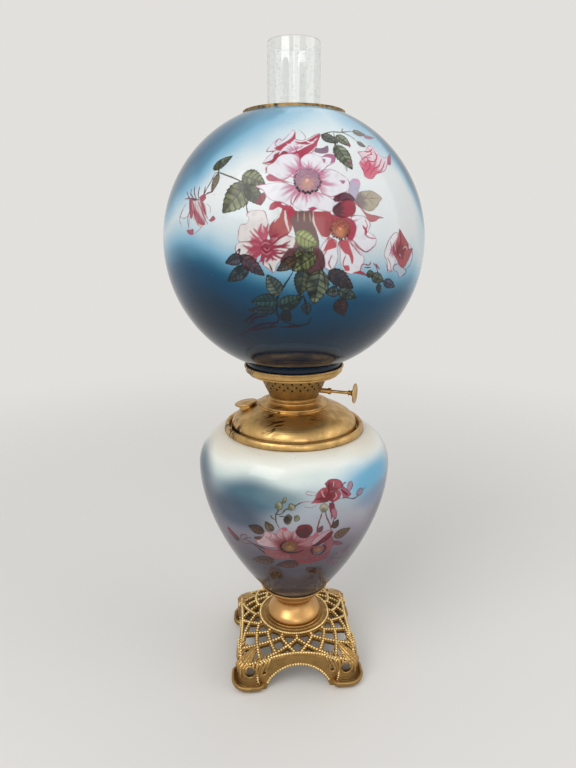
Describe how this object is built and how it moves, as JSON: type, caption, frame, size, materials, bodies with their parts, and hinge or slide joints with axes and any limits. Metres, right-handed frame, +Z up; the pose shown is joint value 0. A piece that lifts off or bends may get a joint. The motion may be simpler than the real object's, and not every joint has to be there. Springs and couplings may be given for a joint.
{
  "type": "oil lamp",
  "caption": "Free-standing parlour oil lamp: ball shade on a round-wick burner, drop-in brass font in a painted glass vase, pierced cast base with four feet.",
  "frame": {"origin": "on the table under the lamp's axis, level with the soles of the four feet", "axes": "+Z up along the lamp's axis; -Y is the side with the main rose spray, +X is to its right, with the wick knob turned a little forward"},
  "size_m": [0.254, 0.254, 0.6515],
  "materials": {
    "gilt_cast": "gilt over a cast base, worn on its edges",
    "gilt_brass": "gilt spun brass with dark wear marks",
    "copper_brass": "coppery spun brass, softly polished",
    "dull_brass": "unpolished brass",
    "steel": "plain zinc grey",
    "cork": "packing washer",
    "vase_glass": "opal glass with sprayed and printed decoration",
    "globe_glass": "opal glass with sprayed and printed decoration",
    "clear_glass": "clear blown glass with fine seeds",
    "wick_cotton": "woven cotton"
  },
  "bodies": {
    "base": {"base_casting": "gilt_cast", "base_stem": "copper_brass", "vase_cup": "copper_brass", "clamp_tube": "dull_brass", "clamp_washer": "steel", "clamp_nut": "steel", "vase_gasket": "cork", "vase_nut": "steel", "vase": "vase_glass", "crown_ring": "gilt_brass"},
    "font": {"font_dome": "gilt_brass", "font_pot": "dull_brass", "font_neck": "dull_brass", "draught_tube": "dull_brass", "filler_neck": "gilt_brass"},
    "cap": {"filler_cap": "gilt_brass", "filler_washer": "cork"},
    "burner": {"burner_collar": "gilt_brass", "burner_bowl": "gilt_brass", "shade_ring": "gilt_brass", "chimney_gallery": "gilt_brass", "wick_tube": "dull_brass", "shaft_gland": "gilt_brass"},
    "knob": {"knob_shaft": "gilt_brass", "wick_knob": "gilt_brass", "wick_pinion": "dull_brass"},
    "wick": {"wick_carrier": "dull_brass", "wick": "wick_cotton"},
    "spreader": {"flame_spreader": "dull_brass"},
    "chimney": {"chimney": "clear_glass"},
    "shade": {"globe": "globe_glass", "globe_rim": "gilt_brass"}
  },
  "joints": [
    {"name": "font_lift", "type": "slide", "parent": "base", "child": "font", "axis": [0, 0, 1], "range_m": [0, 0.1]},
    {"name": "cap_lift", "type": "slide", "parent": "font", "child": "cap", "axis": [-0.172, 0.0242, 0.9848], "range_m": [0, 0.02]},
    {"name": "burner_lift", "type": "slide", "parent": "font", "child": "burner", "axis": [0, 0, 1], "range_m": [0, 0.1]},
    {"name": "knob_turn", "type": "hinge", "parent": "burner", "child": "knob", "pos_m": [0.04619, -0.01913, 0.3243], "axis": [0.9239, -0.3827, 0], "range_deg": [0, 229]},
    {"name": "wick_raise", "type": "slide", "parent": "burner", "child": "wick", "axis": [0, 0, 1], "range_m": [0, 0.016]},
    {"name": "spreader_lift", "type": "slide", "parent": "burner", "child": "spreader", "axis": [0, 0, 1], "range_m": [0, 0.03]},
    {"name": "chimney_lift", "type": "slide", "parent": "burner", "child": "chimney", "axis": [0, 0, 1], "range_m": [0, 0.25]},
    {"name": "shade_lift", "type": "slide", "parent": "burner", "child": "shade", "axis": [0, 0, 1], "range_m": [0, 0.31]}
  ],
  "couplings": [
    {"joint": "wick_raise", "follows": "knob_turn", "m_per_rad": 0.004}
  ]
}
